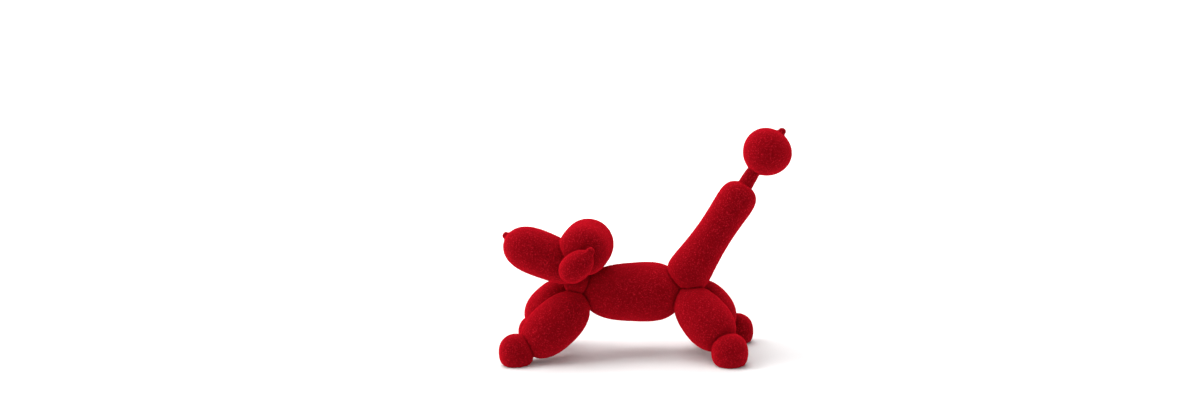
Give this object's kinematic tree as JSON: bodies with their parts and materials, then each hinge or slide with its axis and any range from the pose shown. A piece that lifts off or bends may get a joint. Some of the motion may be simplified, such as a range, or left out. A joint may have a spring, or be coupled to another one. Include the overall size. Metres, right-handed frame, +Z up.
{
  "type": "balloon poodle ornament",
  "caption": "Small standing ornament shaped like a twisted balloon poodle with pompon feet and tail, covered all over in short red flock.",
  "frame": {"origin": "on the floor under the middle of the ornament's box, level with the soles of the feet", "axes": "+X from the nose towards the tail, +Y towards the dog's right side, +Z up"},
  "size_m": [0.2278, 0.0934, 0.1731],
  "materials": {
    "red_flock": "short matte red flock like velvet, on cast resin"
  },
  "bodies": {
    "root": {"balloon_poodle": "red_flock"}
  },
  "joints": []
}
